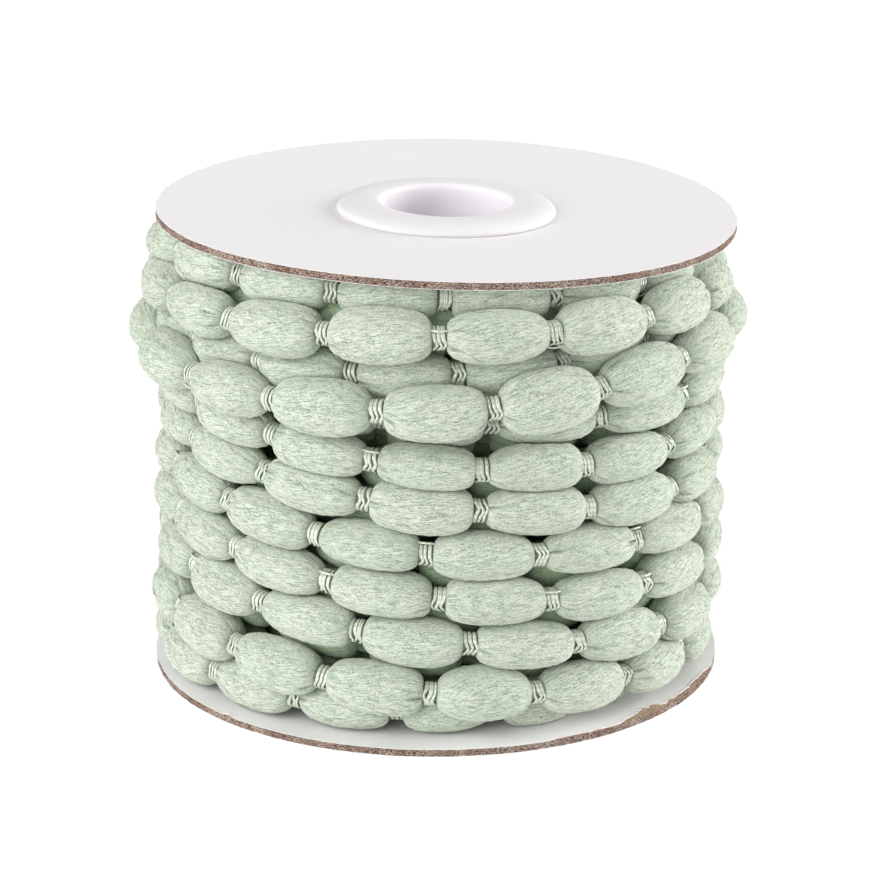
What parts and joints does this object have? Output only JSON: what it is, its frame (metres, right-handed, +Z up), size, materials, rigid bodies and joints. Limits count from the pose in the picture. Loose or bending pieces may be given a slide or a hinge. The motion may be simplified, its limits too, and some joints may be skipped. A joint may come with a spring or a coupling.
{
  "type": "roll of pom-pom trim",
  "caption": "Spool of padded pom-pom trim: oval plush pom-poms bound at every neck, wound in rows between paper-faced board discs on a plastic core with a through bore.",
  "frame": {"origin": "on the floor, at the middle of the lower disc's underside", "axes": "+Z up along the spool's axis, -Y towards the pictured side, +X to its right"},
  "size_m": [0.0962, 0.0972, 0.0753],
  "materials": {
    "board": "grey-brown chipboard faced with smooth white paper on both sides, raw at the cut edge",
    "moulded_plastic": "white, satin, moulded",
    "plush_trim": "pale sage green brushed fibre, bound with shiny thread of the same colour"
  },
  "bodies": {
    "root": {"lower_disc": "board", "upper_disc": "board", "core": "moulded_plastic", "wound_trim": "plush_trim"}
  },
  "joints": []
}
